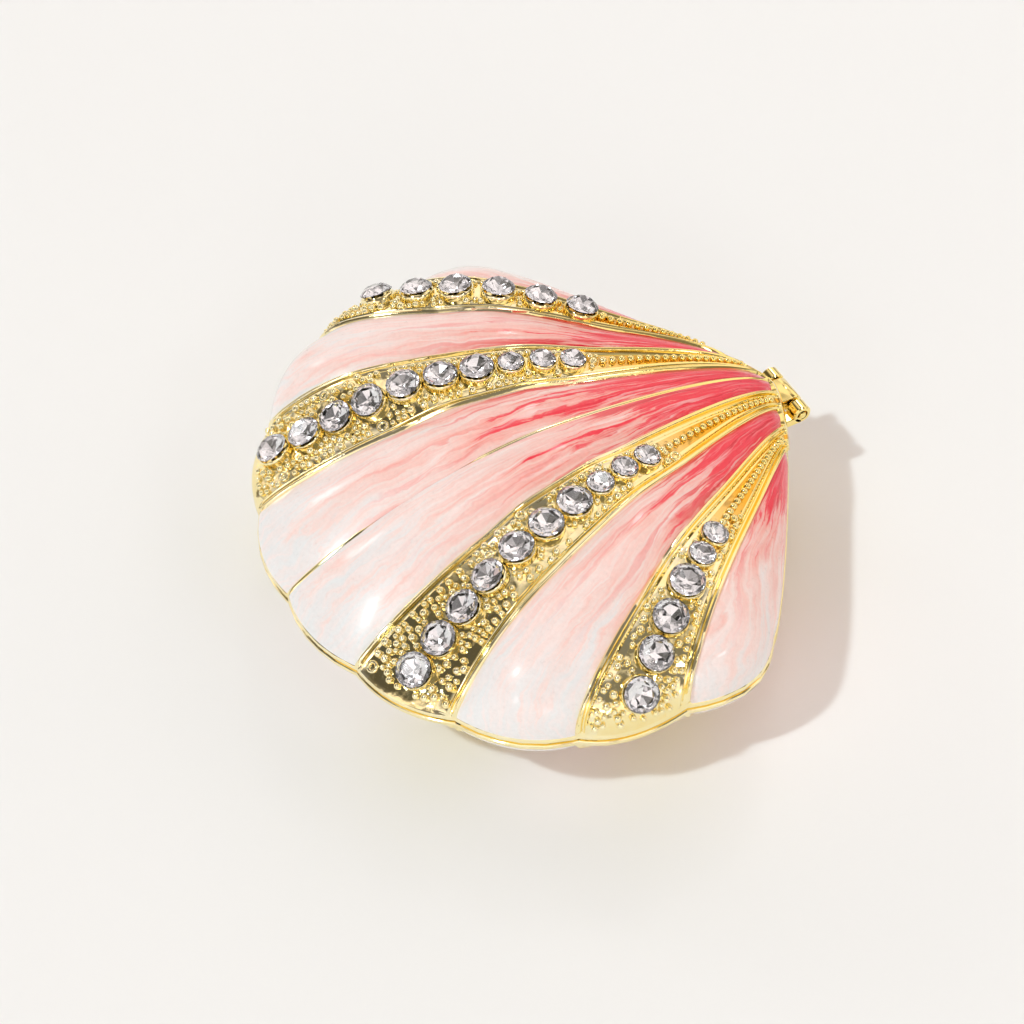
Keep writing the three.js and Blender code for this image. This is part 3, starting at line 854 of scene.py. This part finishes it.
def makePad(index, dome):
    side, cell = pads[index]
    columns, rows = pour["columns"], pour["rows"]
    bm = bmesh.new()
    flow = bm.loops.layers.uv.new("flow")
    place = bm.loops.layers.uv.new("place")
    depth = bm.verts.layers.float.new("depth")
    thin = {}
    isFlank = cell == lastRib
    middle = fanLine(side * (ribs[cell] if isFlank else (ribs[cell] + ribs[cell + 1]) / 2), dome)
    meanWidth = flankWidth(side, 0.5, dome) if isFlank else (ribs[cell + 1] - ribs[cell]) * apexY

    def flankSpot(spread, v):
        share = lerp(pour["flankStart"], 1.0, v)
        width = flankWidth(side, share, dome)
        gathered = 1 - (1 - spread) ** pour["flankGather"]
        across = lerp(min(pour["flankTuckMost"], pour["tuck"] / width), 1.0, gathered)
        plan = onFlank(side, across, share, dome)
        return plan, across * width, min(1 - across, (1 - share) * pour["flankRimShare"])

    def fanSpot(spread, v):
        along = lerp(pour["beakStart"], 1.0, v)
        share = middle.shareAt(middle.length * along)
        reach = fromApex(fanPlan(middle.angle, share))
        tuck = pour["tuck"] if cell else pour["centreTuck"] * (1 - centreCover(along))
        inner = ribs[cell] + tuck / reach
        outer = ribs[cell + 1] - pour["tuck"] / reach
        width = (outer - inner) * reach
        fromEdge = min(spread, 1 - spread) * width if cell else (1 - spread) * width
        return fanPlan(side * lerp(inner, outer, spread), share), fromEdge, min(share, 1 - share)

    def pointAt(column, row):
        u, v = column / columns, closerAtEnds(row / rows)
        spread = u if side > 0 else 1 - u
        plan, fromEdge, fromRim = flankSpot(spread, v) if isFlank else fanSpot(spread, v)
        slump = pour["slump"] * math.exp(-(fromEdge / pour["slumpWidth"]) ** 2)
        thin[column, row] = clamp(fromRim * pour["rimTaper"]) if isFlank else 1
        return toRow(surfaceAt(plan, dome, (pour["lift"] - slump) * clamp(fromRim * pour["rimEase"])))

    spots = gridSheet(bm, columns, rows, pointAt)
    for vert, spot in spots.items():
        vert[depth] = pour["thickness"] * mm * thin[spot]
    for face in bm.faces:
        for loop in face.loops:
            column, row = spots[loop.vert]
            across, along = column / columns, row / rows
            loop[place].uv = (across, along - pour["coralReach"][index])
            loop[flow].uv = (across * meanWidth + index * pour["padSpacing"], along * middle.length)
    bmesh.ops.recalc_face_normals(bm, faces=bm.faces)
    if sum(f.normal.z for f in bm.faces) < 0:
        bmesh.ops.reverse_faces(bm, faces=bm.faces)
    return bm


for i in range(len(pads)):
    padMesh = makePad(i, lidDome)
    thicken(padMesh)
    finishPiece(f"lid_pour_{i + 1}", padMesh, [pearlEnamel], "lid", [f"lid_enamel_{i + 1}"],
                sharpAngle=60)
print("lid enamel poured")

for i, (side, cell) in enumerate(pads):
    padMesh = makePad(i, baseDome)
    cutOff(padMesh, toRow((0, 0, baseDome["foot"] - pour["footClearance"])), (0, 0, 1))
    if cell == lastRib:
        cutOff(padMesh, (side * pour["bareBack"]["halfWidth"] * mm, 0, 0), (-side, 0, 0))
    else:
        cutOff(padMesh, (0, pour["bareBack"]["fromY"] * mm + shift.y * mm, 0), (0, 1, 0))
    thicken(padMesh)
    turnOver(padMesh)
    bmesh.ops.reverse_faces(padMesh, faces=padMesh.faces)
    finishPiece(f"base_pour_{i + 1}", padMesh, [pearlEnamel], "base", [f"base_enamel_{i + 1}"],
                sharpAngle=60)
print("base enamel poured")

# Stones, their collars, and the beads round them

stoneCut = {"large": 3.5, "small": 2.7, "seat": 0.3, "girdle": 0.19, "edge": 0.03, "table": 0.56,
            "top": 0.4, "facets": 8, "breakRadius": 0.8, "breakHeight": 0.315, "culet": -0.06,
            "pavilionRadius": 0.62, "pavilionHeight": 0.05, "flatWithin": 2, "foilBelow": -0.1}
stoneBands = [
    {"band": 1, "side": -1, "rib": 3, "large": 6, "small": 0, "first": 6.1, "pitch": 4.4},
    {"band": 2, "side": -1, "rib": 1, "large": 7, "small": 3, "first": 3.3, "pitch": 3.75},
    {"band": 3, "side": 1, "rib": 1, "large": 7, "small": 3, "first": 3.3, "pitch": 3.75},
    {"band": 4, "side": 1, "rib": 3, "large": 4, "small": 2, "first": 4.2, "pitch": 3.95},
]
smallPitch = 3.2


def stoneSeats(row):
    line = fanLine(row["side"] * (ribs[row["rib"]] + ribs[row["rib"] + 1]) / 2, lidDome)
    seats = []
    for i in range(row["large"] + row["small"]):
        beyond = i - row["large"]
        fromRim = row["first"] + row["pitch"] * min(i, row["large"] - 1)
        if beyond >= 0:
            fromRim += (row["pitch"] + smallPitch) / 2 + smallPitch * beyond
        seats.append((fromRim, stoneCut["large"] if beyond < 0 else stoneCut["small"]))
    return line, seats


def cutStone(diameter, turn):
    bm = bmesh.new()
    radius = diameter / 2

    def ring(count, share, height, start):
        for i in range(count):
            a = start + math.tau * i / count
            bm.verts.new((share * radius * math.cos(a), share * radius * math.sin(a), height * diameter))

    facets = stoneCut["facets"]
    half = math.pi / facets
    ring(facets, stoneCut["table"], stoneCut["top"], turn)
    ring(facets, stoneCut["breakRadius"], stoneCut["breakHeight"], turn + half)
    ring(2 * facets, 1.0, stoneCut["girdle"] + stoneCut["edge"], turn)
    ring(2 * facets, 1.0, stoneCut["girdle"], turn)
    ring(facets, stoneCut["pavilionRadius"], stoneCut["pavilionHeight"], turn + half)
    bm.verts.new((0, 0, stoneCut["culet"] * diameter))
    bmesh.ops.convex_hull(bm, input=bm.verts[:])
    bmesh.ops.dissolve_limit(bm, angle_limit=math.radians(stoneCut["flatWithin"]), verts=bm.verts[:],
                             edges=bm.edges[:])
    bmesh.ops.recalc_face_normals(bm, faces=bm.faces)
    for face in bm.faces:
        face.material_index = 1 if face.normal.z < stoneCut["foilBelow"] else 0
    return bm


collar = {"profile": [(0.16, -0.1), (0.14, 0.3), (0.12, 0.58), (0.05, 0.68), (-0.04, 0.64), (-0.1, 0.4)],
          "steps": 20}


def addCollar(bm, radius, matrix):
    part = bmesh.new()
    verts = [part.verts.new((radius + r, 0, z)) for r, z in collar["profile"]]
    edges = [part.edges.new(pair) for pair in zip(verts, verts[1:])]
    bmesh.ops.spin(part, geom=verts + edges, cent=(0, 0, 0), axis=(0, 0, 1), angle=math.tau,
                   steps=collar["steps"], use_merge=True)
    bmesh.ops.remove_doubles(part, verts=part.verts, dist=weld)
    bmesh.ops.recalc_face_normals(part, faces=part.faces)
    addMesh(bm, part, matrix)


beads = {
    "radius": (0.3, 0.47),
    "sides": (8, 6),
    "tries": 6000,
    "lanes": 130,
    "patch": 0.42,  # size of the bare patches, per millimetre
    "bare": -0.4,
    "sink": 0.35,
    "edge": 0.95,  # clear of a border's middle
    "rimClear": 1.1,
    "stoneClear": 0.12,
    "crowding": 0.9,
    "ringEvery": 14,
    "ring": (0.48, 0.2),
    "ringSides": (12, 6),
    "milgrain": (0.46, 0.34),
    "milgrainStart": 2.3,
    "milgrainPitch": 2.25,
    "milgrainEnd": 3.0,
    "milgrainSink": 0.4,
}


def addBead(bm, plan, radius, sink):
    spot = Matrix.Translation(toRow(surfaceAt(plan, lidDome, radius * sink)))
    around, upDown = beads["sides"]
    bmesh.ops.create_uvsphere(bm, u_segments=around, v_segments=upDown, radius=radius * mm, matrix=spot)


def addRing(bm, plan):
    major, minor = beads["ring"]
    majorSides, minorSides = beads["ringSides"]
    part = bmesh.new()
    bmesh.ops.create_circle(part, segments=minorSides, radius=minor,
                            matrix=Matrix.Translation((major, 0, 0)) @ Matrix.Rotation(math.pi / 2, 4, "X"))
    bmesh.ops.spin(part, geom=part.verts[:] + part.edges[:], cent=(0, 0, 0), axis=(0, 0, 1), angle=math.tau,
                   steps=majorSides, use_merge=True)
    bmesh.ops.remove_doubles(part, verts=part.verts, dist=weld)
    bmesh.ops.recalc_face_normals(part, faces=part.faces)
    spot = upright(toRow(surfaceAt(plan, lidDome)), surfaceNormal(*plan, lidDome))
    addMesh(bm, part, spot @ Matrix.Scale(mm, 4))


def scatterBeads(bm, row, taken):
    _, seats = stoneSeats(row)
    inner, outer = ribs[row["rib"]], ribs[row["rib"] + 1]
    placed = []
    for attempt in range(beads["tries"]):
        fromRim = random.uniform(beads["rimClear"], seats[-1][0] + beads["milgrainStart"])
        lane = lerp(inner, outer, random.randrange(1, beads["lanes"]) / beads["lanes"])
        line = fanLine(row["side"] * lane, lidDome)
        plan = line.planAt(line.length - fromRim)
        clear = min(lane - inner, outer - lane) * fromApex(plan) - beads["edge"]
        radius = random.uniform(*beads["radius"])
        isRing = attempt % beads["ringEvery"] == 0
        room = sum(beads["ring"]) if isRing else radius
        point = surfaceAt(plan, lidDome)
        if clear < 0 or noise.noise(point * beads["patch"]) < beads["bare"]:
            continue
        if any((point - p).length < r + beads["stoneClear"] + room for p, r in taken):
            continue
        if any((point - p).length < (r + room) * beads["crowding"] for p, r in placed):
            continue
        placed.append((point, room))
        if isRing:
            addRing(bm, plan)
        else:
            addBead(bm, plan, radius, beads["sink"])
    return len(placed)


def addMilgrain(bm, row):
    line, seats = stoneSeats(row)
    lastStone = seats[-1][0]
    fromRim = lastStone + beads["milgrainStart"]
    while fromRim < line.length - beads["milgrainEnd"]:
        radius = lerp(*beads["milgrain"], (fromRim - lastStone) / (line.length - lastStone))
        addBead(bm, line.planAt(line.length - fromRim), radius, beads["milgrainSink"])
        fromRim += beads["milgrainPitch"] * radius


random.seed(11)
for row in stoneBands:
    line, seats = stoneSeats(row)
    collarMesh = bmesh.new()
    taken = []
    for i, (fromRim, diameter) in enumerate(seats):
        plan = line.planAt(line.length - fromRim)
        normal = surfaceNormal(*plan, lidDome)
        foot = surfaceAt(plan, lidDome)
        taken.append((foot, diameter / 2))
        stoneMesh = cutStone(diameter, random.uniform(0, 1))
        matrix = upright(toRow(foot + normal * stoneCut["seat"]), normal) @ Matrix.Scale(mm, 4)
        bmesh.ops.transform(stoneMesh, matrix=matrix, verts=stoneMesh.verts)
        name = f"stone_{row['band']}_{i + 1}"
        finishPiece(name + "_cut", stoneMesh, [stoneGlass, stoneFoil], "lid", [name], smooth=False)
        addCollar(collarMesh, diameter / 2, upright(toRow(foot), normal) @ Matrix.Scale(mm, 4))
    finishPiece(f"collars_{row['band']}", collarMesh, [polishedGold], "lid", sharpAngle=60)
    beadMesh = bmesh.new()
    count = scatterBeads(beadMesh, row, taken)
    addMilgrain(beadMesh, row)
    finishPiece(f"beads_{row['band']}", beadMesh, [polishedGold], "lid")
    print("band", row["band"], "stones", len(seats), "beads", count)

# Floor, camera and light

floorLook = {"size": 3.0, "colour": fromScreen(246, 244, 241), "roughness": 0.55}
floorMesh = bmesh.new()
bmesh.ops.create_grid(floorMesh, x_segments=1, y_segments=1, size=floorLook["size"])
floorData = bpy.data.meshes.new("floor")
floorMesh.to_mesh(floorData)
floorMesh.free()
floorMaterial, _, floorShader = startMaterial("paleFloor")
floorShader.inputs["Base Color"].default_value = floorLook["colour"]
floorShader.inputs["Roughness"].default_value = floorLook["roughness"]
floorData.materials.append(floorMaterial)
floor = bpy.data.objects.new("floor", floorData)
bpy.context.scene.collection.objects.link(floor)

view = {"azimuth": 63.47, "elevation": 49.05, "roll": -1.82, "distance": 262.1, "target": (0.55, -0.1, 0),
        "lens": 91.35, "sensor": 36, "clipStart": 0.01}


def makeCamera():
    a, e, roll = (math.radians(view[k]) for k in ("azimuth", "elevation", "roll"))
    back = Vector((math.sin(a) * math.cos(e), -math.cos(a) * math.cos(e), math.sin(e)))
    right = Vector((0, 0, 1)).cross(back).normalized()
    up = back.cross(right)
    turnedRight = right * math.cos(roll) + up * math.sin(roll)
    turnedUp = up * math.cos(roll) - right * math.sin(roll)
    lens = bpy.data.cameras.new("photoCamera")
    lens.sensor_width = view["sensor"]
    lens.lens = view["lens"]
    lens.clip_start = view["clipStart"]
    camera = bpy.data.objects.new("photoCamera", lens)
    matrix = Matrix((turnedRight, turnedUp, back)).transposed().to_4x4()
    matrix.translation = toRow(Vector(view["target"]) + back * view["distance"])
    camera.matrix_world = matrix
    bpy.context.scene.collection.objects.link(camera)
    bpy.context.scene.camera = camera


makeCamera()

lighting = {
    "sunTravel": (-0.03, 0.58, -0.814),
    "sunStrength": 1.15,
    "sunAngle": 3.0,
    "sunColour": (0.86, 1.02, 1.08),
    "panel": (1.22, 1.1, 1.05, 1),  # bright panels and dim gaps all round the table
    "gap": (0.22, 0.205, 0.195, 1),
    "panelScale": 1.9,
    "panelEdge": (0.41, 0.55),
    # small lamps that put the sparkle on the gold: where they stand, their radius in degrees and strength
    "lamps": [((0.03, -0.58, 0.814), 5, 7.0), ((0.75, 0.3, 0.6), 4.5, 8.0), ((-0.55, 0.4, 0.73), 4.5, 8.0),
              ((0.45, -0.75, 0.48), 4.5, 7.0), ((0.9, -0.35, 0.3), 5, 6.0), ((-0.85, -0.3, 0.42), 5, 6.0)],
    "lampSoftness": 0.3,
    "shade": (0.1, 0.09, 0.075, 1),  # a dim part of the room, beside the sun
    "shadeToward": (-0.25, -0.62, 0.74),
    "shadeReach": (20, 42),
}


def makeLights():
    sun = bpy.data.lights.new("key", "SUN")
    sun.energy = lighting["sunStrength"]
    sun.angle = math.radians(lighting["sunAngle"])
    sun.color = lighting["sunColour"]
    key = bpy.data.objects.new("key", sun)
    key.matrix_world = (-Vector(lighting["sunTravel"])).to_track_quat("Z", "Y").to_matrix().to_4x4()
    bpy.context.scene.collection.objects.link(key)
    world = bpy.data.worlds.new("studio")
    bpy.context.scene.world = world
    world.use_nodes = True
    bench = NodeBench(world.node_tree)
    sky = bench.add("ShaderNodeTexCoord").outputs["Generated"]

    def nearnessTo(place):
        sockets = {0: sky, 1: Vector(place).normalized()}
        return bench.add("ShaderNodeVectorMath", sockets, operation="DOT_PRODUCT").outputs["Value"]

    inner, outer = (math.cos(math.radians(a)) for a in lighting["shadeReach"])
    patches = bench.noise(sky, lighting["panelScale"], 1.0)
    panels = bench.mix(bench.spread(patches, *lighting["panelEdge"]), lighting["gap"], lighting["panel"])
    shaded = bench.spread(nearnessTo(lighting["shadeToward"]), outer, inner)
    room = bench.mix(shaded, panels, lighting["shade"])
    for place, radius, strength in lighting["lamps"]:
        edge = math.cos(math.radians(radius))
        lit = bench.spread(nearnessTo(place), edge, lerp(edge, 1, lighting["lampSoftness"]))
        room = bench.mix(lit, room, (strength, strength, strength, 1))
    world.node_tree.links.new(room, world.node_tree.nodes["Background"].inputs["Color"])


makeLights()
bpy.context.scene.view_settings.view_transform = "Standard"

print("scene ready")
